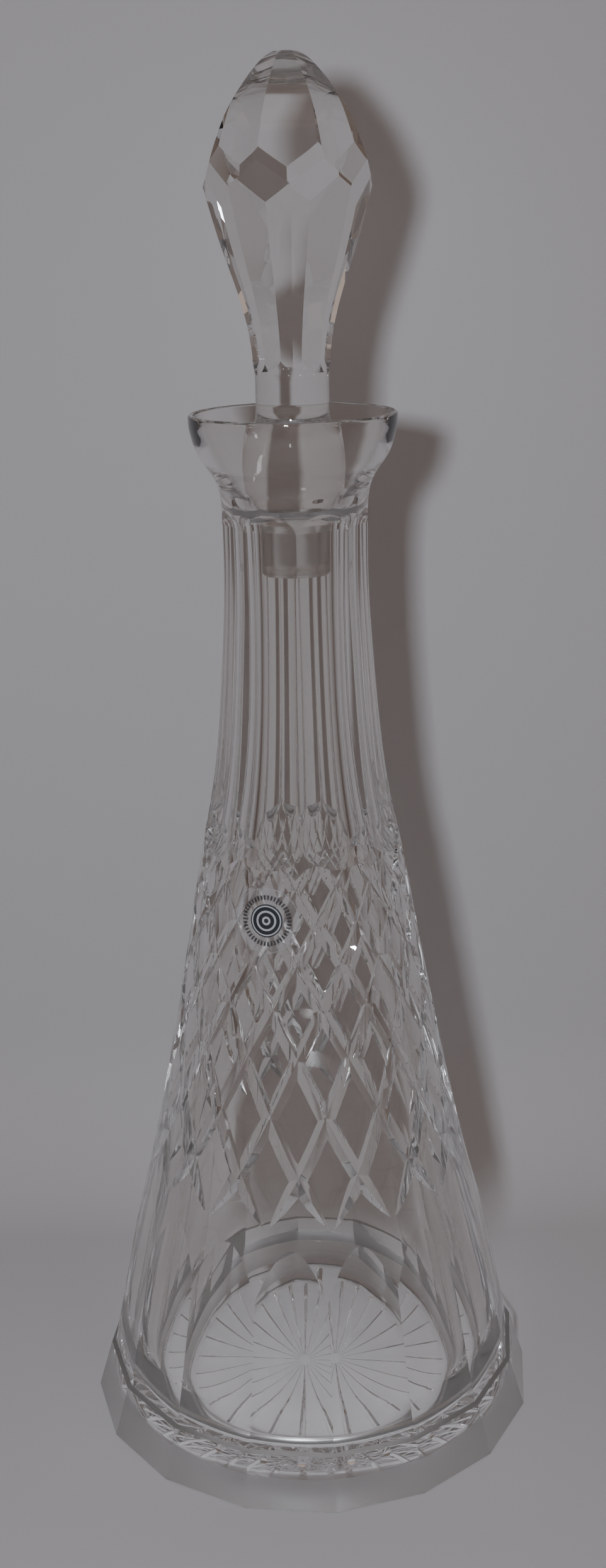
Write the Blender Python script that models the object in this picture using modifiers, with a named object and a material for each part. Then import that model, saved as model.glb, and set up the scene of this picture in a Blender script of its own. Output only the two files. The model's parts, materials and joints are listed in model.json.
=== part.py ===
"""A cut crystal decanter with a faceted stopper and a round adhesive label.

Metres, +Z up. The origin is the centre of the foot, on the surface that the decanter stands on.
Azimuths are measured from the front (-Y) towards the right (+X).
"""

import math

import bmesh
import bpy
from mathutils import Matrix, Vector

MM = 0.001

# Overall sizes
FOOT_RADIUS = 63.5 * MM
RIM_HEIGHT = 281.8 * MM
RIM_RADIUS = 26.5 * MM
STOPPER_TOP = 366.0 * MM
FLOOR_HEIGHT = 8.0 * MM
RUNNING_GAP = 0.35 * MM

# The cutting: eight flutes on the neck, sixteen diamonds round the body, sixteen panels on the foot
FLUTES = 8
FLUTE_TURN = 0.5
FLUTE_WHEEL = 20.0 * MM
FLUTE_TOP = 252.8 * MM
FLUTE_BOTTOM = 174.6 * MM
FLUTE_TOP_CAP = 9.9 * MM
FLUTE_BOTTOM_CAP = 9.1 * MM
DIAMONDS = 16
DIAMOND_TURN = -4.0
DIAMOND_ROWS = [73.0, 87.0, 103.0, 118.5, 131.5, 143.0, 153.5, 163.0, 170.5]
GROOVE_HALF_WIDTH = 1.7 * MM
GROOVE_DEPTH = 1.5 * MM
CROSSING_STEP = 0.12 * MM
PANELS = 16
PANEL_TURN = 5.0
LEDGE_HEIGHT = 14.3 * MM
STAR_RAYS = 16
STAR_RADIUS = 44.0 * MM
STAR_DEPTH = 1.2 * MM
UNDERSIDE_RECESS = 1.5 * MM

# The stopper
STOPPER_SIDES = 8
STOPPER_TURN = 2.0
PEG_END = 241.6 * MM

# The label
LABEL_RADIUS = 8.5 * MM
LABEL_THICKNESS = 0.3 * MM
LABEL_AZIMUTH = -19.0
LABEL_HEIGHT = 155.3 * MM

# Steps round each turned solid
BODY_STEPS = 40
STOPPER_STEPS = 40


def smooth_curve(points, per_span):
    """Points in millimetres on a smooth curve through the given ones, as vectors in metres."""
    ends = [points[0]] + points + [points[-1]]
    curve = []
    for before, start, finish, after in zip(ends, ends[1:], ends[2:], ends[3:]):
        for step in range(per_span):
            t = step / per_span
            place = []
            for a, b, c, d in zip(before, start, finish, after):
                bend = (2 * a - 5 * b + 4 * c - d) * t * t + (3 * b - a - 3 * c + d) * t**3
                place.append((2 * b + (c - a) * t + bend) / 2 * MM)
            curve.append(Vector(place))
    curve.append(Vector(points[-1]) * MM)
    return curve


def radius_at(curve, height):
    """Where a falling or rising outline passes a height."""
    for low, high in zip(curve, curve[1:]):
        if min(low.y, high.y) <= height <= max(low.y, high.y) and low.y != high.y:
            return low.x + (high.x - low.x) * (height - low.y) / (high.y - low.y)
    return curve[-1].x


def turned(name, profile, steps, collection):
    """A solid turned round Z from an outline of (radius, height), open at the axis or closed."""
    mesh = bpy.data.meshes.new(name)
    edges = [(i, i + 1) for i in range(len(profile) - 1)]
    if profile[0] == profile[-1]:
        profile = profile[:-1]
        edges[-1] = (len(profile) - 1, 0)
    mesh.from_pydata([(point[0], 0, point[1]) for point in profile], edges, [])
    piece = bpy.data.objects.new(name, mesh)
    collection.objects.link(piece)
    screw = piece.modifiers.new("turn", "SCREW")
    screw.steps = steps
    screw.render_steps = steps
    screw.use_merge_vertices = True
    screw.merge_threshold = 0.00001
    return piece


def cutter_from(name, bm, turn=0.0):
    """A cutting solid made from a bmesh and turned round Z by an angle in degrees."""
    bmesh.ops.recalc_face_normals(bm, faces=bm.faces)
    bmesh.ops.triangulate(bm, faces=bm.faces)
    bmesh.ops.rotate(bm, verts=bm.verts, matrix=Matrix.Rotation(math.radians(turn), 3, "Z"))
    mesh = bpy.data.meshes.new(name)
    bm.to_mesh(mesh)
    bm.free()
    cutter = bpy.data.objects.new(name, mesh)
    cutters.objects.link(cutter)
    return hide_cutter(cutter)


def hide_cutter(cutter):
    cutter.hide_render = True
    cutter.display_type = "WIRE"
    return cutter


def cut_with(piece, name, operation, cutter=None, group=None):
    boolean = piece.modifiers.new(name, "BOOLEAN")
    boolean.solver = "EXACT"
    boolean.operation = operation
    if group:
        boolean.operand_type = "COLLECTION"
        boolean.collection = group
    else:
        boolean.object = cutter


def glass(name, colour, roughness, alpha=1.0):
    material = bpy.data.materials.new(name)
    material.use_nodes = True
    shader = material.node_tree.nodes["Principled BSDF"]
    shader.inputs["Base Color"].default_value = (*colour, 1)
    shader.inputs["Roughness"].default_value = roughness
    shader.inputs["Metallic"].default_value = 0.0
    shader.inputs["IOR"].default_value = 1.545
    shader.inputs["Transmission Weight"].default_value = 1.0
    shader.inputs["Alpha"].default_value = alpha
    return material


def clear_scene():
    for item in list(bpy.data.objects):
        bpy.data.objects.remove(item)


def new_collection(name):
    collection = bpy.data.collections.new(name)
    bpy.context.scene.collection.children.link(collection)
    return collection


# The outside of the blank before it is cut: cup, neck and cone, from the rim down to the foot
OUTSIDE = smooth_curve(
    [
        (26.5, 281.2),
        (26.2, 277.5),
        (24.4, 271.8),
        (20.6, 266.0),
        (19.1, 261.5),
        (18.7, 254.0),
        (19.2, 234.0),
        (20.9, 208.0),
        (23.0, 188.0),
        (25.9, 172.0),
        (28.9, 156.0),
        (32.4, 136.0),
        (38.9, 101.6),
        (44.6, 75.0),
        (52.4, 46.0),
        (61.5, 15.0),
    ],
    2,
)

# The inside, from the rim down to the corner of the floor
INSIDE = smooth_curve(
    [
        (25.3, 281.2),
        (24.0, 277.5),
        (21.6, 272.0),
        (17.8, 266.8),
        (15.4, 262.2),
        (13.8, 258.9),
        (12.2, 256.6),
        (11.7, 250.0),
        (11.5, 228.0),
        (12.2, 205.0),
        (14.4, 184.0),
        (18.8, 162.0),
        (24.6, 136.0),
        (31.4, 102.0),
        (37.4, 66.0),
        (42.2, 44.0),
        (46.2, 26.0),
        (47.0, 18.0),
    ],
    1,
)


def body_profile():
    """The blank's closed outline: up the inside from the floor, over the lip and down the outside."""
    corner = 6.0 * MM
    centre = Vector((INSIDE[-1].x - corner, FLOOR_HEIGHT + corner))
    floor = [Vector((0, FLOOR_HEIGHT))]
    for step in range(4):
        angle = math.radians(-90 + 30 * step)
        floor.append(centre + corner * Vector((math.cos(angle), math.sin(angle))))
    lip = [Vector((RIM_RADIUS - 0.6 * MM, RIM_HEIGHT))]
    foot = [Vector((FOOT_RADIUS + 2 * MM, 8 * MM)), Vector((FOOT_RADIUS + 2 * MM, 0))]
    recess_radius = STAR_RADIUS + 4 * MM
    under = [
        Vector((recess_radius, 0)),
        Vector((recess_radius - UNDERSIDE_RECESS, UNDERSIDE_RECESS)),
        Vector((0, UNDERSIDE_RECESS)),
    ]
    return floor + INSIDE[::-1] + lip + OUTSIDE + foot + under


def panel_outline():
    """Corner radii of the sixteen-sided foot, as the outline of the ring of glass ground away.

    From the top: tall panels, a narrow ledge, a spread skirt, and back up outside the blank.
    """
    return [
        (70 * MM, 80 * MM),
        (70 * MM, -1 * MM),
        (FOOT_RADIUS + 0.33 * MM, -1 * MM),
        (FOOT_RADIUS, 0),
        (59.2 * MM, LEDGE_HEIGHT - 0.4 * MM),
        (58.4 * MM, LEDGE_HEIGHT + 0.4 * MM),
        (46.0 * MM, 74 * MM),
        (70 * MM, 80 * MM),
    ]


# How far the middle of the flute's cutting wheel stands from the decanter's axis, by height
WHEEL_PATH = smooth_curve(
    [(40.7, 174.0), (38.7, 188.0), (37.2, 203.0), (35.6, 229.0), (34.8, 242.0), (35.3, 254.0)], 2
)


def flute_cutter(turn):
    """A long bar with round ends that follows the neck: its near side scoops one flute."""
    bm = bmesh.new()
    bmesh.ops.create_uvsphere(bm, u_segments=36, v_segments=9, radius=1)
    for vert in bm.verts:
        if vert.co.z > 0:
            vert.co.z = FLUTE_TOP + FLUTE_TOP_CAP * vert.co.z
        else:
            vert.co.z = FLUTE_BOTTOM + FLUTE_BOTTOM_CAP * vert.co.z
        vert.co.x *= FLUTE_WHEEL
        vert.co.y *= FLUTE_WHEEL
    for point in WHEEL_PATH[1:-1]:
        geometry = bm.verts[:] + bm.edges[:] + bm.faces[:]
        bmesh.ops.bisect_plane(bm, geom=geometry, plane_co=(0, 0, point.y), plane_no=(0, 0, 1))
    for vert in bm.verts:
        height = min(max(vert.co.z, WHEEL_PATH[0].y), WHEEL_PATH[-1].y)
        vert.co.x += radius_at(WHEEL_PATH, height)
    return cutter_from("flute_cutter", bm, turn)


def row_height(step):
    """The height of a place along a groove, in rows from the lowest crossing."""
    low = min(int(step), len(DIAMOND_ROWS) - 2)
    part = step - low
    return (DIAMOND_ROWS[low] * (1 - part) + DIAMOND_ROWS[low + 1] * part) * MM


def groove_place(step, turn, direction, across, out):
    """A point of a V groove that winds up the cone, given across its line and out from the glass."""
    quarter = 180 / DIAMONDS
    rows = len(DIAMOND_ROWS) - 1
    rise = row_height(min(step + 0.5, rows)) - row_height(max(step - 0.5, 0))
    height = row_height(step)
    radius = radius_at(OUTSIDE, height)
    along = math.radians(quarter) * radius * direction
    length = math.hypot(rise, along)
    height += across * along / length
    angle = math.radians(turn + quarter * step * direction) - across * rise / length / radius
    reach = radius_at(OUTSIDE, height) + out
    return Vector((reach * math.cos(angle), reach * math.sin(angle), height))


def groove_cutter(turn, direction, depth):
    """A V bar wound up the cone: its lower edge presses the groove, and it lifts out at each end."""
    rows = len(DIAMOND_ROWS) - 1
    bm = bmesh.new()
    spread = 1.5
    loops = []
    for step in [0] + [row + 0.5 for row in range(rows)] + [rows]:
        lift = 1.15 * depth if step in (0, rows) else 0
        ring = []
        for across, out in ((0, -1), (spread, spread - 1), (-spread, spread - 1)):
            side = across * GROOVE_HALF_WIDTH
            ring.append(bm.verts.new(groove_place(step, turn, direction, side, out * depth + lift)))
        loops.append(ring)
    for low, high in zip(loops, loops[1:]):
        for i in range(3):
            bm.faces.new((low[i], low[i - 1], high[i - 1], high[i]))
    bm.faces.new(loops[0])
    bm.faces.new(loops[-1][::-1])
    return cutter_from("groove_cutter", bm)


def star_cutter(turn):
    """One ray of the star under the foot: a flat four-sided spike from the middle outwards."""
    bm = bmesh.new()
    length = STAR_RADIUS - 2 * MM
    bmesh.ops.create_cone(
        bm, cap_ends=True, segments=4, radius1=STAR_DEPTH, radius2=0.15 * MM, depth=length
    )
    bmesh.ops.rotate(bm, verts=bm.verts, matrix=Matrix.Rotation(math.radians(-90), 3, "Y"))
    bmesh.ops.scale(bm, verts=bm.verts, vec=(1, 1.6, 1))
    middle = (length / 2 + 4 * MM, 0, UNDERSIDE_RECESS - 0.15 * MM)
    bmesh.ops.translate(bm, verts=bm.verts, vec=middle)
    return cutter_from("star_cutter", bm, turn)


def make_body(collection):
    body = turned("decanter_body", body_profile(), BODY_STEPS, collection)
    wheels = bpy.data.collections.new("cutting_wheels")
    cutters.children.link(wheels)
    sides = hide_cutter(turned("foot_panels", panel_outline(), PANELS, wheels))
    sides.rotation_euler.z = math.radians(PANEL_TURN)
    for number in range(FLUTES):
        wheels.objects.link(flute_cutter(FLUTE_TURN - 90 + (number + 0.5) * 360 / FLUTES))
    lowest = DIAMOND_TURN - 90 + 180 / DIAMONDS
    for number in range(DIAMONDS):
        turn = lowest + number * 360 / DIAMONDS
        wheels.objects.link(groove_cutter(turn, 1, GROOVE_DEPTH))
        wheels.objects.link(groove_cutter(turn, -1, GROOVE_DEPTH - CROSSING_STEP))
    for number in range(STAR_RAYS):
        wheels.objects.link(star_cutter(number * 360 / STAR_RAYS))
    cut_with(body, "cutting", "DIFFERENCE", group=wheels)
    body.data.materials.append(glass("lead_crystal", (0.93, 0.94, 0.95), 0.02))
    return body


def stopper_round():
    """The turned form: a bell left wide for the facets, the shank, the bulb and the ground peg."""
    bell = [(0, 370), (27, 370), (27, 338), (13.4, 304), (10.3, 297.5), (9.35, 291.5)]
    shank = smooth_curve([(9.3, 282.0), (9.6, 279.6), (12.2, 275.6), (13.2, 270.0), (13.1, 264.5),
                          (12.6, 260.2), (11.4, 257.2)], 2)
    peg = [(11.0, 242.4), (10.3, PEG_END / MM), (0, PEG_END / MM)]
    return [Vector(point) * MM for point in bell] + shank + [Vector(point) * MM for point in peg]


def stopper_crown():
    """Corner radii of the eight upper panels, which curve over to a small flat table."""
    table = 3.1
    crown = smooth_curve(
        [(table, STOPPER_TOP / MM), (6.3, 364.1), (10.8, 359.3), (15.4, 352.9), (18.4, 346.6),
         (20.5, 341.0), (22.4, 335.5)], 2)
    skirt = [(27, 322), (27, 238), (0, 238)]
    return [Vector((0, STOPPER_TOP))] + crown + [Vector(point) * MM for point in skirt]


def stopper_taper():
    """Corner radii of the eight long lower panels, which run out on the round shank."""
    taper = smooth_curve(
        [(22.0, 341.0), (20.7, 336.0), (17.1, 323.2), (13.2, 311.7), (11.0, 303.7), (9.9, 297.0),
         (9.8, 292.8), (10.8, 288.0)], 2)
    top = [(0, 372), (30, 372)]
    skirt = [(30, 276), (30, 236), (0, 236)]
    return [Vector(p) * MM for p in top] + taper + [Vector(p) * MM for p in skirt]


def make_stopper(collection):
    stopper = turned("stopper", stopper_round(), STOPPER_STEPS, collection)
    crown = turned("stopper_crown_panels", stopper_crown(), STOPPER_SIDES, cutters)
    taper = turned("stopper_taper_panels", stopper_taper(), STOPPER_SIDES, cutters)
    taper.rotation_euler.z = math.radians(STOPPER_TURN - 90)
    crown.rotation_euler.z = math.radians(STOPPER_TURN - 90 + 180 / STOPPER_SIDES)
    cut_with(stopper, "crown panels", "INTERSECT", hide_cutter(crown))
    cut_with(stopper, "taper panels", "INTERSECT", hide_cutter(taper))
    stopper.data.materials.append(glass("stopper_crystal", (0.93, 0.94, 0.95), 0.02))
    return stopper


def make_label(collection):
    """A thin disc bent to the cone, standing a hair off the glass."""
    bm = bmesh.new()
    bmesh.ops.create_circle(bm, cap_ends=True, segments=40, radius=LABEL_RADIUS)
    for share in (0.35, 0.35, 0.4):
        bmesh.ops.inset_individual(bm, faces=[max(bm.faces, key=lambda face: len(face.verts))],
                                   thickness=LABEL_RADIUS * share * 0.75)
    bmesh.ops.triangulate(bm, faces=[face for face in bm.faces if len(face.verts) > 4])
    for vert in bm.verts:
        height = LABEL_HEIGHT + vert.co.y
        radius = radius_at(OUTSIDE, height)
        angle = math.radians(LABEL_AZIMUTH - 90) + vert.co.x / radius
        reach = radius + RUNNING_GAP
        vert.co = (reach * math.cos(angle), reach * math.sin(angle), height)
    mesh = bpy.data.meshes.new("round_label")
    bm.to_mesh(mesh)
    bm.free()
    label = bpy.data.objects.new("round_label", mesh)
    collection.objects.link(label)
    shell = label.modifiers.new("film", "SOLIDIFY")
    shell.thickness = LABEL_THICKNESS
    shell.offset = 1
    label.data.materials.append(glass("clear_label_film", (0.86, 0.87, 0.88), 0.25, 0.8))
    return label


clear_scene()
parts = new_collection("cut_crystal_decanter")
cutters = new_collection("cutters")
make_body(parts)
make_stopper(parts)
make_label(parts)
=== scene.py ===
# %% [markdown]
# # A cut crystal decanter, in cells
#
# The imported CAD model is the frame: it says where the decanter, its stopper and its label are, how
# big they are and how the stopper lifts. The CAD solids are faceted stand-ins. This script makes
# the pieces that are seen: polished lead crystal with its wheel-cut flutes, diamonds, foot panels
# and star, the faceted stopper, and a thin printed label.

# %% The frame
import json
import math

import bmesh
import bpy
from mathutils import Matrix, Vector

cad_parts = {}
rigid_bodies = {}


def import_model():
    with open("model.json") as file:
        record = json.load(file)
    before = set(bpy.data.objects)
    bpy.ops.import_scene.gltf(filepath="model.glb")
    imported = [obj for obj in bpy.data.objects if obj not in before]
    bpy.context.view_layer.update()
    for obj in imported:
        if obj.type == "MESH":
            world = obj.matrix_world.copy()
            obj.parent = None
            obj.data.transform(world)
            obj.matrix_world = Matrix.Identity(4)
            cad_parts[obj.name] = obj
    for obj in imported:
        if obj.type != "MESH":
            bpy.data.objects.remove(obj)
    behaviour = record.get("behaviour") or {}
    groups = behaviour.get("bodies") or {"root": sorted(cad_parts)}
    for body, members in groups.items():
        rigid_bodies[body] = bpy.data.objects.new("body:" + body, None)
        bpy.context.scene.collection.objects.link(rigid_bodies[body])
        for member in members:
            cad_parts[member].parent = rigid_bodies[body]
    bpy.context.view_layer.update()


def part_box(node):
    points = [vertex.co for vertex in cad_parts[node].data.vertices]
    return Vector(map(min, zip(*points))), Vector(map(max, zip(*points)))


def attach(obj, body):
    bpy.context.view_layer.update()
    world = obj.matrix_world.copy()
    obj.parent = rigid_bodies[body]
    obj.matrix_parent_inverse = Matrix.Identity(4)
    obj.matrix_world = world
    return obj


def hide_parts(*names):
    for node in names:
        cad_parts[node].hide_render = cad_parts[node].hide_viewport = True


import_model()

# %% [markdown]
# ## Sizes
#
# A glass cutter works from a few sizes: how wide the foot is, how high the rim stands, how thick
# the floor is. The heights of the rim, the stopper and the label are read off the frame, so that
# the glass is exactly as tall as its CAD solid. The others are the cutter's marks on the blank:
# heights above the table, and how many cuts go round.

# %% Sizes from the frame, and the cutter's marks
MM = 0.001
rim_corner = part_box("decanter_body")[1]
peg_low, crown_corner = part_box("stopper")
label_low, label_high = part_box("round_label")

RIM_HEIGHT = rim_corner.z
STOPPER_TOP = crown_corner.z
PEG_END = peg_low.z
FOOT_RADIUS = 63.5 * MM
FLOOR_HEIGHT = 8.0 * MM
LEDGE_HEIGHT = 14.3 * MM

# Turns are in degrees from the front, positive towards the right
FRONT = -90.0
FLUTES = 8
FLUTE_TURN = 0.5
DIAMONDS = 16
DIAMOND_TURN = -4.0
DIAMOND_ROWS = [73.0, 87.0, 103.0, 118.5, 131.5, 143.0, 153.5, 163.0, 170.5]
PANELS = 16
PANEL_TURN = 5.0
print(f"rim at {RIM_HEIGHT / MM:.1f} mm, stopper up to {STOPPER_TOP / MM:.1f} mm")

# %% [markdown]
# ## The camera
#
# The view is from a little above the rim, about 45 cm in front of the decanter, tilted down and
# rolled by a degree. The camera comes first, so that every later choice can be looked at through it.
# A lens this short, this near, makes the foot look wide and shows the floor of the glass.

# %% Camera
CAMERA_PLACE = Vector((0.6, -453.0, 327.0)) * MM
CAMERA_TILT = 90.0 - 17.59
CAMERA_ROLL = -1.22
CAMERA_LENS = 40.61

camera_data = bpy.data.cameras.new("camera")
camera_data.lens = CAMERA_LENS
camera_data.sensor_width = 36.0
camera_data.clip_start = 0.01
camera = bpy.data.objects.new("camera", camera_data)
bpy.context.scene.collection.objects.link(camera)
tilt = Matrix.Rotation(math.radians(CAMERA_TILT), 4, "X")
roll = Matrix.Rotation(math.radians(CAMERA_ROLL), 4, "Z")
camera.matrix_world = Matrix.Translation(CAMERA_PLACE) @ tilt @ roll
bpy.context.scene.camera = camera
print("camera", [round(value, 3) for value in camera.location])

# %% [markdown]
# ## Small helpers
#
# A turned outline needs only the points where its shape changes. `smooth_line` fills in the curve
# between them (a Catmull-Rom curve, which passes through every point), and `radius_at` reads the
# outline back at a height, which is how the cuts find the surface of the glass.


# %% Outlines
def between(a, b, c, d, t):
    """A share t of the way from b to c, on the smooth curve through a, b, c and d."""
    bend = (2 * a - 5 * b + 4 * c - d) * t * t + (3 * b - a - 3 * c + d) * t**3
    return (2 * b + (c - a) * t + bend) / 2


def smooth_line(points, per_span):
    """Points of (radius, height) in metres on a smooth curve through points in millimetres."""
    ends = [points[0]] + points + [points[-1]]
    line = []
    for four in zip(ends, ends[1:], ends[2:], ends[3:]):
        for step in range(per_span):
            place = [between(*values, step / per_span) * MM for values in zip(*four)]
            line.append(Vector(place))
    line.append(Vector(points[-1]) * MM)
    return line


def radius_at(line, height):
    """The radius of an outline where it passes a height."""
    for one, two in zip(line, line[1:]):
        if min(one.y, two.y) <= height <= max(one.y, two.y) and one.y != two.y:
            return one.x + (two.x - one.x) * (height - one.y) / (two.y - one.y)
    return line[-1].x


# %% [markdown]
# Turning is the operator `spin`: the outline is a chain of edges, and the operator sweeps it once
# round the axis. `use_merge` joins the last step to the first, and a full turn leaves doubled
# points on the axis, so those are merged and the normals are worked out again.


# %% Turning
def turn_outline(line, steps, closed=False):
    """A bmesh solid turned round Z from (radius, height) points."""
    bm = bmesh.new()
    verts = [bm.verts.new((point[0], 0, point[1])) for point in line]
    edges = [bm.edges.new(pair) for pair in zip(verts, verts[1:])]
    if closed:
        edges.append(bm.edges.new((verts[-1], verts[0])))
    bmesh.ops.spin(
        bm,
        geom=verts + edges,
        cent=(0, 0, 0),
        axis=(0, 0, 1),
        angle=math.tau,
        steps=steps,
        use_merge=True,
    )
    bmesh.ops.remove_doubles(bm, verts=bm.verts, dist=0.002 * MM)
    bmesh.ops.recalc_face_normals(bm, faces=bm.faces)
    return bm


def turn_by(bm, degrees):
    """Turns a bmesh about Z."""
    bmesh.ops.rotate(bm, verts=bm.verts, matrix=Matrix.Rotation(math.radians(degrees), 3, "Z"))


def object_from(bm, name, collection=None):
    """A mesh object at the origin, with its place in its mesh."""
    mesh = bpy.data.meshes.new(name)
    bm.to_mesh(mesh)
    bm.free()
    made = bpy.data.objects.new(name, mesh)
    (collection or bpy.context.scene.collection).objects.link(made)
    return made


# %% [markdown]
# ## Cutting
#
# On the real decanter each cut is a wheel held against the blank. Here each wheel is a solid of the
# shape it grinds away, and one Boolean takes them all off together: doing it in one pass keeps the
# mesh closed where cuts cross. The wheels carry a marker material, so that afterwards every edge
# between a cut and the blank, or between two cuts, can be kept crisp while the rest stays smooth.


# %% Cutting helpers
def wheel_from(bm, name, wheels):
    """One cutting solid: triangulated, because a bent four-sided face has no exact plane to cut by."""
    bmesh.ops.recalc_face_normals(bm, faces=bm.faces)
    bmesh.ops.triangulate(bm, faces=bm.faces)
    wheel = object_from(bm, name, wheels)
    wheel.data.materials.append(cut_marker)
    return wheel


def boolean_mesh(piece, operations):
    """The piece's mesh after Booleans, each (operation, object or collection)."""
    for operation, tool in operations:
        boolean = piece.modifiers.new("cut", "BOOLEAN")
        boolean.solver = "EXACT"
        boolean.operation = operation
        boolean.material_mode = "TRANSFER"
        if isinstance(tool, bpy.types.Collection):
            boolean.operand_type = "COLLECTION"
            boolean.collection = tool
        else:
            boolean.object = tool
    graph = bpy.context.evaluated_depsgraph_get()
    mesh = bpy.data.meshes.new_from_object(piece.evaluated_get(graph))
    piece.modifiers.clear()
    piece.data = mesh
    return mesh


def keep_edges_crisp(piece, angle):
    """Smooth shading, with sharp edges at any wider angle and where a cut meets the blank."""
    bm = bmesh.new()
    bm.from_mesh(piece.data)
    for face in bm.faces:
        face.smooth = True
    for edge in bm.edges:
        one, two = edge.link_faces[0], edge.link_faces[-1]
        edge.smooth = edge.calc_face_angle(0) < math.radians(angle) and (
            one.material_index == two.material_index
        )
    for face in bm.faces:
        face.material_index = 0
    bm.to_mesh(piece.data)
    bm.free()
    piece.data.materials.clear()


def report(piece):
    """Prints how many triangles a piece has, whether it is closed, and how much glass it holds."""
    bm = bmesh.new()
    bm.from_mesh(piece.data)
    open_edges = sum(len(edge.link_faces) != 2 for edge in bm.edges)
    triangles = sum(len(face.verts) - 2 for face in bm.faces)
    glass = bm.calc_volume() * 1e6
    print(f"{piece.name}: {triangles} triangles, {open_edges} open edges, {glass:.1f} cm3")
    bm.free()


blank_marker = bpy.data.materials.new("blank_marker")
cut_marker = bpy.data.materials.new("cut_marker")
bench = bpy.data.collections.new("bench")
bpy.context.scene.collection.children.link(bench)

# %% [markdown]
# ## The blank
#
# A glassblower makes the blank: a tall cone with a neck and a cup-shaped mouth, thick all over so
# that there is glass to cut away. The outside runs from the rim down to the foot and the inside
# from the rim down to the rounded corner of a thick floor. The lip is rounded in the fire, and the
# blank is left 2 mm wide at the foot for the panels to be ground from. Underneath it is hollowed
# a little, so that it stands on a ring.

# %% Outlines of the blank
OUTSIDE = smooth_line(
    [
        (26.5, 281.0), (26.2, 277.5), (24.4, 271.8), (20.6, 266.0), (19.1, 261.5), (18.7, 254.0),
        (19.2, 234.0), (20.9, 208.0), (23.0, 188.0), (25.9, 172.0), (28.9, 156.0), (32.4, 136.0),
        (38.9, 101.6), (44.6, 75.0), (52.4, 46.0), (61.5, 15.0),
    ],
    8,
)  # fmt: skip
INSIDE = smooth_line(
    [
        (24.9, 281.0), (24.0, 277.5), (21.6, 272.0), (17.8, 266.8), (15.4, 262.2), (13.8, 258.9),
        (12.2, 256.6), (11.8, 252.0), (11.6, 241.6), (11.5, 228.0), (12.2, 205.0), (14.4, 184.0),
        (18.8, 162.0), (24.6, 136.0), (31.4, 102.0), (37.4, 66.0), (42.2, 44.0), (46.2, 26.0),
        (47.0, 20.0),
    ],
    6,
)  # fmt: skip


def arc(centre, radius, start, stop, steps):
    """Points round an arc, with angles in degrees from the outward horizontal."""
    points = []
    for step in range(steps + 1):
        angle = math.radians(start + (stop - start) * step / steps)
        points.append(centre + radius * Vector((math.cos(angle), math.sin(angle))))
    return points


# %% The blown blank
FLOOR_CORNER = 6.0 * MM
RECESS_DEPTH = 1.5 * MM
BLANK_STEPS = 192

corner_centre = Vector((INSIDE[-1].x - FLOOR_CORNER, FLOOR_HEIGHT + FLOOR_CORNER))
floor_line = [Vector((x * MM, FLOOR_HEIGHT)) for x in (0, 8, 16, 24)]
floor_line += arc(corner_centre, FLOOR_CORNER, -90, 0, 14)
lip_radius = (OUTSIDE[0].x - INSIDE[0].x) / 2
lip_centre = Vector((INSIDE[0].x + lip_radius, RIM_HEIGHT - lip_radius))
lip_line = arc(lip_centre, lip_radius, 160, 20, 6)
blank_foot = FOOT_RADIUS + 2 * MM
foot_line = [Vector((blank_foot, 8 * MM)), Vector((blank_foot, 0))]
under_line = smooth_line(
    [(48.0, 0.0), (44.0, 0.7), (39.0, 1.2), (30.0, 1.4), (14.0, 1.5), (0.0, 1.5)], 3
)
blank_line = floor_line + INSIDE[::-1] + lip_line + OUTSIDE + foot_line + under_line
body = object_from(turn_outline(blank_line, BLANK_STEPS), "crystal_body")
body.data.materials.append(blank_marker)
report(body)

# %% [markdown]
# ## The foot
#
# Sixteen flat panels are ground up the lower cone, and under a narrow ledge the skirt of the foot
# spreads out, also in sixteen flats. The glass ground away is a ring whose inside is that
# sixteen-sided form, and a ring with sixteen steps is one spin.

# %% The wheels for the foot
wheels = bpy.data.collections.new("wheels")
bench.children.link(wheels)
LEDGE_RADIUS = 59.3 * MM
LEDGE_WIDTH = 1.2 * MM
CLEAR_OF_GLASS = 70 * MM
panel_line = [
    Vector((CLEAR_OF_GLASS, 80 * MM)),
    Vector((CLEAR_OF_GLASS, -1 * MM)),
    Vector((FOOT_RADIUS + 0.33 * MM, -1 * MM)),
    Vector((FOOT_RADIUS, 0)),
    Vector((LEDGE_RADIUS, LEDGE_HEIGHT - 0.3 * MM)),
    Vector((LEDGE_RADIUS - LEDGE_WIDTH, LEDGE_HEIGHT + 0.3 * MM)),
    Vector((46.0 * MM, 74 * MM)),
]
ring = turn_outline(panel_line, PANELS, closed=True)
turn_by(ring, PANEL_TURN)
wheel_from(ring, "foot_wheel", wheels)
print("foot ring with", PANELS, "sides")

# %% [markdown]
# ## The flutes
#
# Eight hollow flutes run down the neck, round at the top and the bottom. Each is the mark of a wide
# wheel that follows the neck, so the tool is a ball drawn out into a long bar, bent to stand at the
# right distance from the axis at each height. Neighbouring flutes meet in the ridges that catch the
# light.

# %% The wheels for the flutes
FLUTE_WHEEL = 30.0 * MM
FLUTE_TOP = 252.8 * MM
FLUTE_BOTTOM = 174.6 * MM
FLUTE_TOP_CAP = 14.2 * MM
FLUTE_BOTTOM_CAP = 12.4 * MM
WHEEL_LINE = smooth_line(
    [(51.8, 174.0), (49.7, 188.0), (48.1, 206.0), (46.7, 229.0), (46.3, 242.0), (46.3, 254.0)], 5
)


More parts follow.
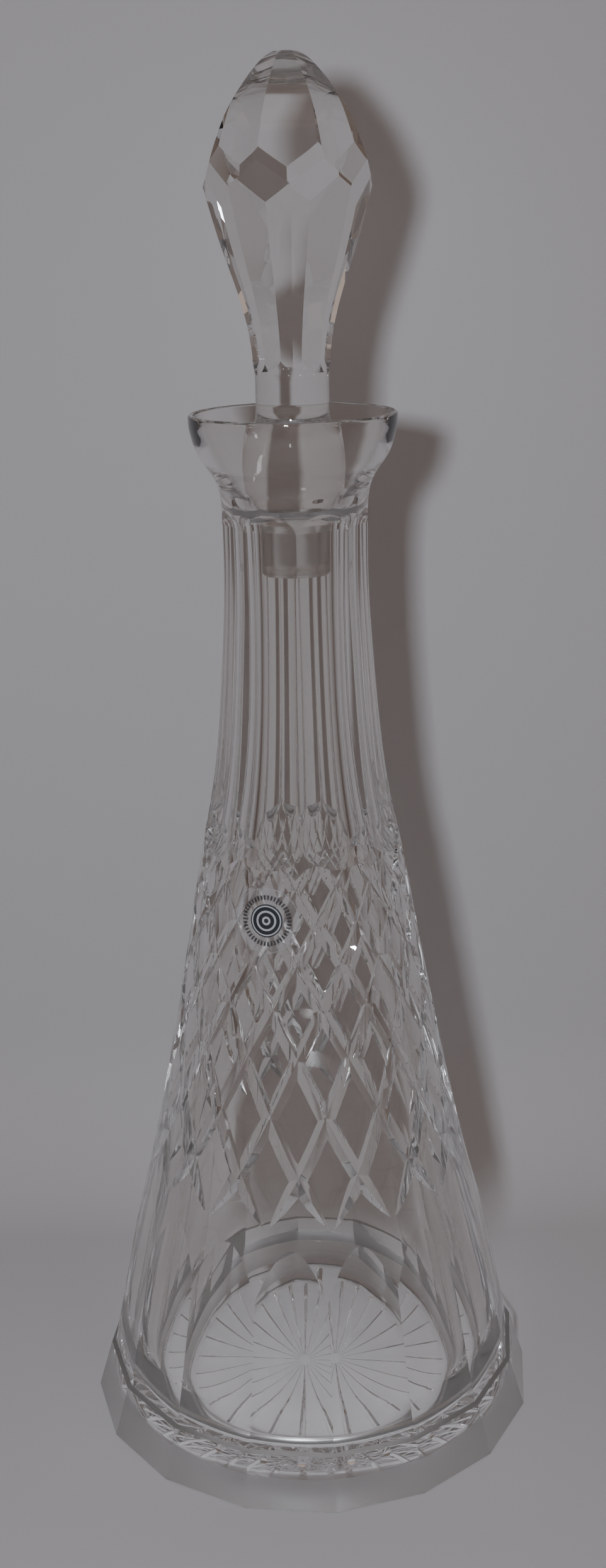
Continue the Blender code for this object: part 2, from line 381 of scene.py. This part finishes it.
def flute_wheel(turn):
    """The bar that scoops one flute: a ball drawn out to the flute's length and bent to follow it."""
    bm = bmesh.new()
    bmesh.ops.create_uvsphere(bm, u_segments=160, v_segments=25, radius=1)
    for vert in bm.verts:
        top = vert.co.z > 0
        middle, cap = (FLUTE_TOP, FLUTE_TOP_CAP) if top else (FLUTE_BOTTOM, FLUTE_BOTTOM_CAP)
        vert.co = (vert.co.x * FLUTE_WHEEL, vert.co.y * FLUTE_WHEEL, middle + cap * vert.co.z)
    for point in WHEEL_LINE[1:-1]:
        geometry = bm.verts[:] + bm.edges[:] + bm.faces[:]
        bmesh.ops.bisect_plane(bm, geom=geometry, plane_co=(0, 0, point.y), plane_no=(0, 0, 1))
    for vert in bm.verts:
        height = min(max(vert.co.z, WHEEL_LINE[0].y), WHEEL_LINE[-1].y)
        vert.co.x += radius_at(WHEEL_LINE, height)
    turn_by(bm, turn)
    return wheel_from(bm, "flute_wheel", wheels)


for number in range(FLUTES):
    flute_wheel(FRONT + FLUTE_TURN + (number + 0.5) * 360 / FLUTES)
print(FLUTES, "flutes")

# %% [markdown]
# ## The diamonds
#
# Sixteen V grooves wind up the cone to the right and sixteen to the left, and the glass left
# standing between them is the net of diamonds. A groove is a straight three-sided bar, wound round
# the cone point by point. It bites wider low down, where the diamonds are large, and lifts out of
# the glass in a long point at each end. One family is a touch shallower, as it is by hand, which
# also keeps the crossings clean. Pairs of sizes are for the lower and the upper end.

# %% The wheels for the diamonds
GROOVE_HALF_WIDTH = (2.2 * MM, 1.45 * MM)
GROOVE_DEPTH = (1.4 * MM, 1.0 * MM)
SHALLOWER = 0.94
GROOVE_CUTS = 39
# How far a groove lifts out at its ends, in depths, and how long its points are, in rows
LIFT_OUT = 1.15
LOW_POINT = 0.9
HIGH_POINT = 0.7
ROWS = len(DIAMOND_ROWS) - 1


def row_height(step):
    """The height of a place along a groove, counted in rows from the lowest point."""
    below = 2 * DIAMOND_ROWS[0] - DIAMOND_ROWS[1]
    above = 2 * DIAMOND_ROWS[-1] - DIAMOND_ROWS[-2]
    low = min(int(step), ROWS - 1)
    four = [below, *DIAMOND_ROWS, above][low : low + 4]
    return between(*four, step - low) * MM


def wind(step, turn, direction, across, out):
    """A point of a bar wound up the cone: `across` its line and `out` from the glass."""
    half_column = math.radians(180 / DIAMONDS)
    rise = row_height(min(step + 0.5, ROWS)) - row_height(max(step - 0.5, 0))
    height = row_height(step)
    radius = radius_at(OUTSIDE, height)
    along = half_column * radius * direction
    length = math.hypot(rise, along)
    height += across * along / length
    angle = math.radians(turn) + half_column * step * direction - across * rise / length / radius
    reach = radius_at(OUTSIDE, height) + out
    return Vector((reach * math.cos(angle), reach * math.sin(angle), height))


def groove_wheel(turn, direction, share):
    """The bar that cuts one groove, winding to the right (1) or the left (-1)."""
    bm = bmesh.new()
    bmesh.ops.create_cone(bm, cap_ends=True, segments=3, radius1=1, radius2=1, depth=1)
    long_edges = [edge for edge in bm.edges if abs(edge.verts[0].co.z - edge.verts[1].co.z) > 0.5]
    bmesh.ops.subdivide_edges(bm, edges=long_edges, cuts=GROOVE_CUTS)
    edge_out = max(bm.verts, key=lambda vert: vert.co.x)
    lead = math.atan2(edge_out.co.y, edge_out.co.x)
    bmesh.ops.rotate(bm, verts=bm.verts, matrix=Matrix.Rotation(-lead, 3, "Z"))
    for vert in bm.verts:
        part = vert.co.z + 0.5
        step = part * ROWS
        half_width, depth = (
            low + (high - low) * part for low, high in (GROOVE_HALF_WIDTH, GROOVE_DEPTH)
        )
        lift = LIFT_OUT * max(1 - step / LOW_POINT, 1 - (ROWS - step) / HIGH_POINT, 0) ** 1.5
        out = depth * share * (lift - vert.co.x)
        vert.co = wind(step, turn, direction, vert.co.y * math.sqrt(3) * half_width, out)
    return wheel_from(bm, "groove_wheel", wheels)


for number in range(DIAMONDS):
    foot_point = FRONT + DIAMOND_TURN + (number + 0.5) * 360 / DIAMONDS
    groove_wheel(foot_point, 1, 1.0)
    groove_wheel(foot_point, -1, SHALLOWER)
print(2 * DIAMONDS, "grooves,", DIAMONDS, "diamonds round")

# %% [markdown]
# ## The star under the foot
#
# The underside is hollowed a little, and a star of long mitre cuts is ground into it. It is seen
# through the floor of the glass. Each ray is a slender four-sided spike laid in the glass, deepest
# at its outer end.

# %% The wheels for the star
STAR_RAYS = 24
STAR_RADIUS = 40.0 * MM
STAR_DEPTH = 0.7 * MM


def star_wheel(turn):
    """The spike that cuts one ray."""
    bm = bmesh.new()
    bmesh.ops.create_cone(
        bm,
        cap_ends=True,
        segments=4,
        radius1=STAR_DEPTH,
        radius2=0.2 * MM,
        depth=STAR_RADIUS - 2 * MM,
    )
    bmesh.ops.rotate(bm, verts=bm.verts, matrix=Matrix.Rotation(math.radians(-90), 3, "Y"))
    bmesh.ops.scale(bm, verts=bm.verts, vec=(1, 1.8, 1))
    middle = (STAR_RADIUS / 2 + 1.5 * MM, 0, RECESS_DEPTH - 0.1 * MM)
    bmesh.ops.translate(bm, verts=bm.verts, vec=middle)
    turn_by(bm, turn)
    return wheel_from(bm, "star_wheel", wheels)


for number in range(STAR_RAYS):
    star_wheel(FRONT + DIAMOND_TURN + number * 360 / STAR_RAYS)
print(STAR_RAYS, "rays in the star")

# %% [markdown]
# All the wheels are ready, so the glass is cut: the foot ring, eight flutes, 32 grooves and the
# star, in one pass. An edge is kept crisp where faces meet at 13 degrees or more, which is wider
# than the facets of any smooth cut and narrower than any real edge.

# %% Cut the body
boolean_mesh(body, [("DIFFERENCE", wheels)])
keep_edges_crisp(body, 13)
report(body)

# %% [markdown]
# ## The stopper
#
# The stopper is solid. It is turned first: a wide bell, the shank, a bulb that nests in the cup and
# a ground peg that closes the neck. Then two sets of eight panels are ground on the bell. The crown
# panels curve over to a small flat table, and the long lower panels sit half a step round from
# them, so the two sets meet in a zigzag.

# %% The turned form
STOPPER_SIDES = 8
STOPPER_TURN = 2.0
STOPPER_STEPS = 144

bell = [(0, 370), (27, 370), (27, 338), (13.4, 304)]
shank_line = smooth_line(
    [
        (10.3, 297.5), (9.35, 291.5), (9.3, 286.0), (9.3, 281.6), (9.9, 279.0), (12.2, 275.6),
        (13.2, 270.0), (13.1, 264.5), (12.6, 260.2), (11.5, 257.2),
    ],
    5,
)  # fmt: skip
peg_end = PEG_END / MM
peg = [(11.3, 256.4), (11.05, peg_end + 0.8), (10.3, peg_end), (0, peg_end)]
bell_line, peg_line = ([Vector(point) * MM for point in line] for line in (bell, peg))
turned_line = bell_line + shank_line + peg_line
stopper = object_from(turn_outline(turned_line, STOPPER_STEPS), "crystal_stopper")
stopper.data.materials.append(blank_marker)

# %% [markdown]
# The panels are ground by intersecting the turned form with two eight-sided ones: whatever glass is
# outside either of them goes. Each is an outline of corner radii, turned in eight steps.

# %% Its crown and taper panels
crown_line = smooth_line(
    [
        (3.1, STOPPER_TOP / MM), (6.3, 364.1), (10.8, 359.3), (15.4, 352.9), (18.4, 346.6),
        (20.5, 341.0), (22.4, 335.5),
    ],
    6,
)  # fmt: skip
taper_line = smooth_line(
    [
        (22.0, 341.0), (20.7, 336.0), (17.1, 323.2), (13.2, 311.7), (11.0, 303.7), (9.9, 297.0),
        (9.8, 292.8), (10.8, 288.0),
    ],
    6,
)  # fmt: skip
crown_skirt = [Vector(point) * MM for point in ((27, 322), (27, 238), (0, 238))]
taper_top = [Vector(point) * MM for point in ((0, 372), (30, 372))]
taper_skirt = [Vector(point) * MM for point in ((30, 276), (30, 236), (0, 236))]
crown = turn_outline([Vector((0, STOPPER_TOP))] + crown_line + crown_skirt, STOPPER_SIDES)
turn_by(crown, FRONT + STOPPER_TURN + 180 / STOPPER_SIDES)
taper = turn_outline(taper_top + taper_line + taper_skirt, STOPPER_SIDES)
turn_by(taper, FRONT + STOPPER_TURN)
boolean_mesh(
    stopper,
    [
        ("INTERSECT", wheel_from(crown, "crown_wheel", bench)),
        ("INTERSECT", wheel_from(taper, "taper_wheel", bench)),
    ],
)
keep_edges_crisp(stopper, 18)
report(stopper)

# %% [markdown]
# ## The label
#
# A round sticker of clear film sits on the cone, over the tops of the diamonds. It starts as a flat
# disc with rings of faces, wraps round the cone, and Solidify gives it the film's thickness.

# %% The label
LABEL_THICKNESS = 0.3 * MM
LABEL_GAP = 0.35 * MM
LABEL_AZIMUTH = -19.0
LABEL_HEIGHT = (label_low.z + label_high.z) / 2
LABEL_RADIUS = (label_high.z - label_low.z) / 2
LABEL_RINGS = 7

disc = bmesh.new()
bmesh.ops.create_circle(disc, cap_ends=True, segments=96, radius=LABEL_RADIUS)
for ring_number in range(LABEL_RINGS - 1):
    middle_face = max(disc.faces, key=lambda face: len(face.verts))
    bmesh.ops.inset_individual(disc, faces=[middle_face], thickness=LABEL_RADIUS / LABEL_RINGS)
flat = disc.loops.layers.uv.new("print")
for face in disc.faces:
    for loop in face.loops:
        loop[flat].uv = (loop.vert.co.x / MM, loop.vert.co.y / MM)
for vert in disc.verts:
    height = LABEL_HEIGHT + vert.co.y
    radius = radius_at(OUTSIDE, height)
    angle = math.radians(FRONT + LABEL_AZIMUTH) + vert.co.x / radius
    reach = radius + LABEL_GAP
    vert.co = (reach * math.cos(angle), reach * math.sin(angle), height)
label = object_from(disc, "film_label")
film = label.modifiers.new("film", "SOLIDIFY")
film.thickness = LABEL_THICKNESS
film.offset = 1
for face in label.data.polygons:
    face.use_smooth = True
print("label", round(2 * LABEL_RADIUS / MM, 1), "mm across")

# %% [markdown]
# The wheels have done their work. They and the marker materials are taken away, so that only the
# glass and the label are left.

# %% Clear the bench
for wheel in list(bench.all_objects):
    bpy.data.objects.remove(wheel)
bpy.data.collections.remove(wheels)
bpy.data.collections.remove(bench)
bpy.data.materials.remove(blank_marker)
bpy.data.materials.remove(cut_marker)


# %% [markdown]
# ## Colours and nodes
#
# Colours are written as sRGB hex, the way a paint chart or a colour picker gives them, and turned
# to the linear values that the renderer works in.


# %% Colours and nodes
def linear(hex_colour):
    """An sRGB hex colour as linear red, green, blue and an alpha of one."""
    channels = []
    for start in (1, 3, 5):
        value = int(hex_colour[start : start + 2], 16) / 255
        channels.append(value / 12.92 if value <= 0.04045 else ((value + 0.055) / 1.055) ** 2.4)
    return (*channels, 1.0)


def add_node(material, kind, settings=None, inputs=None, links=None):
    """A node with its settings, its input values, and links from (node, output) to its inputs."""
    tree = material.node_tree
    node = tree.nodes.new(kind)
    for name, value in (settings or {}).items():
        setattr(node, name, value)
    for name, value in (inputs or {}).items():
        node.inputs[name].default_value = value
    for name, (source, output) in (links or {}).items():
        tree.links.new(source.outputs[output], node.inputs[name])
    return node


def new_material(name):
    """A material with nodes, and its Principled shader."""
    material = bpy.data.materials.new(name)
    material.use_nodes = True
    return material, material.node_tree.nodes["Principled BSDF"]


# %% [markdown]
# ## Lead crystal
#
# Lead crystal is clear glass with lead oxide in it: it bends light more than window glass (an index
# of about 1.55) and has next to no colour. Acid polishing leaves the cuts bright but not perfectly
# flat, with a soft ripple a couple of centimetres long and a few thousandths of a millimetre high,
# and that ripple is what makes the reflections swim. A trace of absorption gives the thick foot its
# grey, and washing leaves a trace of lime that clouds it here and there.
#
# A path tracer can't aim a shadow ray through a bent surface, so it would leave the paper inside
# the foot black. Where the walls are plain, below the diamonds, shadow rays are let straight
# through, as nearly all the light is in the real glass.


# %% Crystal
def crystal(name, ripple_mm, ripple_height_mm):
    """Polished lead crystal: clear, heavy, rippled a little, with a faint film of lime and wear."""
    material, shader = new_material(name)
    shader.inputs["Base Color"].default_value = linear("#f9f7f5")
    shader.inputs["Roughness"].default_value = 0.0
    shader.inputs["IOR"].default_value = 1.55
    place = add_node(material, "ShaderNodeTexCoord")
    ripple = add_node(
        material,
        "ShaderNodeTexNoise",
        inputs={"Scale": 1 / (ripple_mm * MM), "Detail": 1.0, "Roughness": 0.4},
        links={"Vector": (place, "Object")},
    )
    bump = add_node(
        material,
        "ShaderNodeBump",
        inputs={"Strength": 1.0, "Distance": ripple_height_mm * MM},
        links={"Height": (ripple, "Fac")},
    )
    material.node_tree.links.new(bump.outputs["Normal"], shader.inputs["Normal"])
    cloud = add_node(
        material,
        "ShaderNodeTexNoise",
        inputs={"Scale": 1 / (22 * MM), "Detail": 5.0, "Roughness": 0.62},
        links={"Vector": (place, "Object")},
    )
    clear = add_node(
        material,
        "ShaderNodeMapRange",
        inputs={"From Min": 0.35, "From Max": 0.7, "To Min": 1.0, "To Max": 0.992},
        links={"Value": (cloud, "Fac")},
    )
    material.node_tree.links.new(clear.outputs["Result"], shader.inputs["Transmission Weight"])
    # Plain walls let light straight through to the paper, and cut ones throw it aside
    height = add_node(material, "ShaderNodeSeparateXYZ", links={"Vector": (place, "Object")})
    plain = add_node(
        material,
        "ShaderNodeMapRange",
        inputs={"From Min": 62 * MM, "From Max": 84 * MM, "To Min": 1.0, "To Max": 0.0},
        links={"Value": (height, "Z")},
    )
    path = add_node(material, "ShaderNodeLightPath")
    through = add_node(
        material,
        "ShaderNodeMath",
        {"operation": "MULTIPLY"},
        links={0: (plain, "Result"), 1: (path, "Is Shadow Ray")},
    )
    straight = add_node(
        material, "ShaderNodeBsdfTransparent", inputs={"Color": (0.965, 0.965, 0.965, 1)}
    )
    passed = add_node(
        material,
        "ShaderNodeMixShader",
        links={0: (through, "Value"), 1: (shader, "BSDF"), 2: (straight, "BSDF")},
    )
    depth = add_node(
        material,
        "ShaderNodeVolumeAbsorption",
        inputs={"Color": linear("#c9c8c8"), "Density": 1.0},
    )
    output = material.node_tree.nodes["Material Output"]
    material.node_tree.links.new(depth.outputs["Volume"], output.inputs["Volume"])
    material.node_tree.links.new(passed.outputs[0], output.inputs["Surface"])
    return material


body.data.materials.append(crystal("lead_crystal_polished_cuts", 18.0, 0.004))
stopper.data.materials.append(crystal("lead_crystal_flat_facets", 24.0, 0.004))

# %% [markdown]
# Three places are not polished: the peg of the stopper, ground to fit the neck, the narrow ledge
# round the foot, left as the wheel leaves it, and the ring it stands on, scuffed by many tables.
# Ground glass is a fine even matt that scatters light. The grey given to the ledge and the ring is
# darker than the glass itself is: it is partly the ground finish and partly painted shade, so that the
# foot reads darker than the paper.


# %% Ground glass
def ground_crystal(name, grey, roughness, clear):
    """Crystal with a fine matt surface: `clear` is the share of the light that still goes in."""
    material, shader = new_material(name)
    shader.inputs["Base Color"].default_value = linear(grey)
    shader.inputs["IOR"].default_value = 1.55
    shader.inputs["Transmission Weight"].default_value = clear
    shader.inputs["Roughness"].default_value = roughness
    return material


def grind(piece, material, is_ground):
    """Gives a piece's faces at some (radius, height), in millimetres, the ground finish."""
    piece.data.materials.append(material)
    count = 0
    for face in piece.data.polygons:
        if is_ground(face.center.xy.length / MM, face.center.z / MM, face.normal):
            face.material_index = 1
            count += 1
    print(piece.name, "has", count, "ground faces")


# The ledge and the ring get a darker grey than ground glass has: painted shade on the foot, over a real
# ground finish.
grind(
    body,
    ground_crystal("ground_ledge_and_foot_ring_painted_shade", "#aaa7a4", 0.35, 0.78),
    lambda radius, height, normal: (
        (radius > 56 and 13.7 < height < 15.0 and normal.z > 0.6) or (radius > 47 and height < 0.1)
    ),
)
grind(
    stopper,
    ground_crystal("ground_peg", "#f1f0ee", 0.2, 0.92),
    lambda radius, height, normal: height < 256.6,
)

# %% [markdown]
# ## Label film
#
# Clear polypropylene film with a plain print in one dark ink: a silver disc with rings in the
# middle, and a ring of short ticks near the edge. The print follows the label's own flat
# coordinates, in millimetres from its centre, so the rings stay round on the curved glass.

# %% Printed film
film_material, film_shader = new_material("clear_film_printed")
flat_place = add_node(film_material, "ShaderNodeUVMap", {"uv_map": "print"})
from_centre = add_node(
    film_material, "ShaderNodeVectorMath", {"operation": "LENGTH"}, links={"Vector": (flat_place, "UV")}
)
across = add_node(
    film_material,
    "ShaderNodeMath",
    {"operation": "DIVIDE"},
    inputs={1: 8.5},
    links={0: (from_centre, "Value")},
)
print_colour = add_node(film_material, "ShaderNodeValToRGB", links={"Fac": (across, "Value")})
bands = print_colour.color_ramp
bands.interpolation = "CONSTANT"
bands.elements[0].color = linear("#3a3e44")
bands.elements[1].position = 0.07
bands.elements[1].color = linear("#c9ccd0")
for position, colour in (
    (0.13, "#33373d"), (0.25, "#c4c8cc"), (0.31, "#33373d"), (0.42, "#c9ccd0"), (0.46, "#3f4349"),
    (0.5, "#c9ccd0"), (0.6, "#2f333a"), (0.8, "#c9ccd0"),
):  # fmt: skip
    bands.elements.new(position).color = linear(colour)
inked = add_node(film_material, "ShaderNodeValToRGB", links={"Fac": (across, "Value")})
cover = inked.color_ramp
cover.interpolation = "CONSTANT"
cover.elements[0].color = (0.9, 0.9, 0.9, 1)
cover.elements[1].position = 0.5
cover.elements[1].color = (0.06, 0.06, 0.06, 1)
cover.elements.new(0.97).color = (0.3, 0.3, 0.3, 1)
film_material.node_tree.links.new(print_colour.outputs["Color"], film_shader.inputs["Base Color"])



def film_sum(operation, inputs=None, **links):
    """A Math node of the film: `a`, `b` and `c` are the (node, output) of its three inputs."""
    sources = {"abc".index(name): source for name, source in links.items()}
    return add_node(film_material, "ShaderNodeMath", {"operation": operation}, inputs, sources)


# The ticks: inked where the sine of so many turns is above zero, in a band between two radii
TICKS = 42
tick_band = add_node(film_material, "ShaderNodeValToRGB", links={"Fac": (across, "Value")})
tick_band.color_ramp.interpolation = "CONSTANT"
tick_band.color_ramp.elements[1].position = 0.64
tick_band.color_ramp.elements.new(0.77).color = (0, 0, 0, 1)
flat_xy = add_node(film_material, "ShaderNodeSeparateXYZ", links={"Vector": (flat_place, "UV")})
round_turn = film_sum("ARCTAN2", a=(flat_xy, "Y"), b=(flat_xy, "X"))
wave = film_sum("SINE", a=(film_sum("MULTIPLY", {1: TICKS}, a=(round_turn, "Value")), "Value"))
is_tick = film_sum("GREATER_THAN", {1: 0.0}, a=(wave, "Value"))
ticks = film_sum("MULTIPLY", a=(tick_band, "Color"), b=(is_tick, "Value"))
ink = film_sum("MULTIPLY_ADD", {1: 0.55}, a=(ticks, "Value"), c=(inked, "Color"))
film_material.node_tree.links.new(ink.outputs["Value"], film_shader.inputs["Alpha"])
film_shader.inputs["Roughness"].default_value = 0.3
label.data.materials.append(film_material)

# %% [markdown]
# ## The studio
#
# Clear glass has no look of its own: it shows the room. A sheet of matt grey-white paper lies under
# the decanter and bends up close behind it, so that the glass shows the paper nearly everywhere,
# and the shadow that falls on the paper shows through the glass as warm grey bands. The sheet can
# only be seen from its front, so that it doesn't hide the decanter from views behind it. It lies
# a little below the foot, because two surfaces in one plane can't be told apart.

# %% Sweep
SWEEP_BACK = 125.0 * MM
SWEEP_BEND = 52.0 * MM
SWEEP_GAP = 0.3 * MM
SHEET_HALF = 2.0

sweep_line = [Vector((-SHEET_HALF, -SWEEP_GAP))]
bend_centre = Vector((SWEEP_BACK - SWEEP_BEND, SWEEP_BEND - SWEEP_GAP))
sweep_line += arc(bend_centre, SWEEP_BEND, -90, 0, 16)
sweep_line.append(Vector((SWEEP_BACK, SHEET_HALF)))
sweep_bm = bmesh.new()
chain = [sweep_bm.verts.new((-SHEET_HALF, point.x, point.y)) for point in sweep_line]
edges = [sweep_bm.edges.new(pair) for pair in zip(chain, chain[1:])]
grown = bmesh.ops.extrude_edge_only(sweep_bm, edges=edges)
new_verts = [item for item in grown["geom"] if isinstance(item, bmesh.types.BMVert)]
bmesh.ops.translate(sweep_bm, verts=new_verts, vec=(2 * SHEET_HALF, 0, 0))
for face in sweep_bm.faces:
    face.smooth = True
sweep_bm.normal_update()
if sum(face.normal.z for face in sweep_bm.faces) < 0:
    bmesh.ops.reverse_faces(sweep_bm, faces=sweep_bm.faces)
sweep = object_from(sweep_bm, "sweep")
paper, paper_shader = new_material("matt_paper")
paper_shader.inputs["Base Color"].default_value = linear("#d3d2d4")
paper_shader.inputs["Roughness"].default_value = 0.9
paper_shader.inputs["Specular IOR Level"].default_value = 0.2
side = add_node(paper, "ShaderNodeNewGeometry")
see_through = add_node(paper, "ShaderNodeBsdfTransparent")
one_way = add_node(
    paper,
    "ShaderNodeMixShader",
    links={0: (side, "Backfacing"), 1: (paper_shader, "BSDF"), 2: (see_through, "BSDF")},
)
paper_output = paper.node_tree.nodes["Material Output"]
paper.node_tree.links.new(one_way.outputs[0], paper_output.inputs["Surface"])
sweep.data.materials.append(paper)
print("sweep stands", SWEEP_BACK / MM, "mm behind the axis")

# %% [markdown]
# The sheet ends behind the decanter, so the studio's own pale floor carries on below it and past it
# on every side. It only shows from the sides and from behind.

# %% Studio floor
FLOOR_HALF = 6.0
FLOOR_DROP = 2.0 * MM

floor_bm = bmesh.new()
bmesh.ops.create_grid(floor_bm, x_segments=1, y_segments=1, size=FLOOR_HALF)
bmesh.ops.translate(floor_bm, verts=floor_bm.verts, vec=(0, 0, -FLOOR_DROP))
studio_floor = object_from(floor_bm, "studio_floor")
studio_floor.data.materials.append(paper)


# %% [markdown]
# ## Light
#
# The key is a small, slightly cool soft box just left of the lens. From there it throws the shadow
# a little to the right, with a soft edge, and gives each cut one small bright point. A wide warm
# soft box overhead and a dim warm room fill the rest, so that the shadow is a brownish grey. Light
# crosses many surfaces in cut glass before it comes out, so more bounces are allowed than usual.


# %% Lights
def soft_box(name, place, target, size, power, colour):
    """A square area light that faces a point. Sizes are in metres and the power in watts."""
    light = bpy.data.lights.new(name, "AREA")
    light.shape = "RECTANGLE"
    light.size, light.size_y = size
    light.energy = power
    light.color = linear(colour)[:3]
    box = bpy.data.objects.new(name, light)
    bpy.context.scene.collection.objects.link(box)
    aim = (Vector(target) - Vector(place)).to_track_quat("-Z", "Y")
    box.matrix_world = Matrix.Translation(place) @ aim.to_matrix().to_4x4()
    return box


soft_box("key", (-0.058, -0.468, 0.354), (0, 0, 0.17), (0.03, 0.03), 1.3, "#eef5ff")
soft_box("overhead", (0.1, -0.35, 1.3), (0, 0, 0.1), (0.9, 0.9), 0.95, "#f6dfcd")

world = bpy.data.worlds.new("room")
bpy.context.scene.world = world
world.use_nodes = True
sky = world.node_tree.nodes["Background"]
sky.inputs["Color"].default_value = linear("#ecd0bf")
sky.inputs["Strength"].default_value = 0.155
# The far end of the studio, where it is looked at straight past the decanter, is a paler wall
room = world.node_tree.nodes
far_wall = room.new("ShaderNodeBackground")
far_wall.inputs["Color"].default_value = linear("#d6d0cc")
far_wall.inputs["Strength"].default_value = 0.4
looked_at = room.new("ShaderNodeLightPath")
either = room.new("ShaderNodeMixShader")
join = world.node_tree.links.new
join(looked_at.outputs["Is Camera Ray"], either.inputs[0])
join(sky.outputs["Background"], either.inputs[1])
join(far_wall.outputs["Background"], either.inputs[2])
join(either.outputs["Shader"], room["World Output"].inputs["Surface"])

cycles = bpy.context.scene.cycles
cycles.max_bounces = 40
cycles.transmission_bounces = 40
cycles.glossy_bounces = 16

# %% [markdown]
# ## What moves with what
#
# The label is stuck to the decanter and the stopper lifts out, so each piece rides on its CAD body
# and stands for its CAD solid.

# %% Bodies
for piece, node, moves_with, finish in (
    (body, "decanter_body", "decanter", "body_crystal"),
    (stopper, "stopper", "stopper", "stopper_crystal"),
    (label, "round_label", "decanter", "label_film"),
):
    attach(piece, moves_with)
    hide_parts(node)
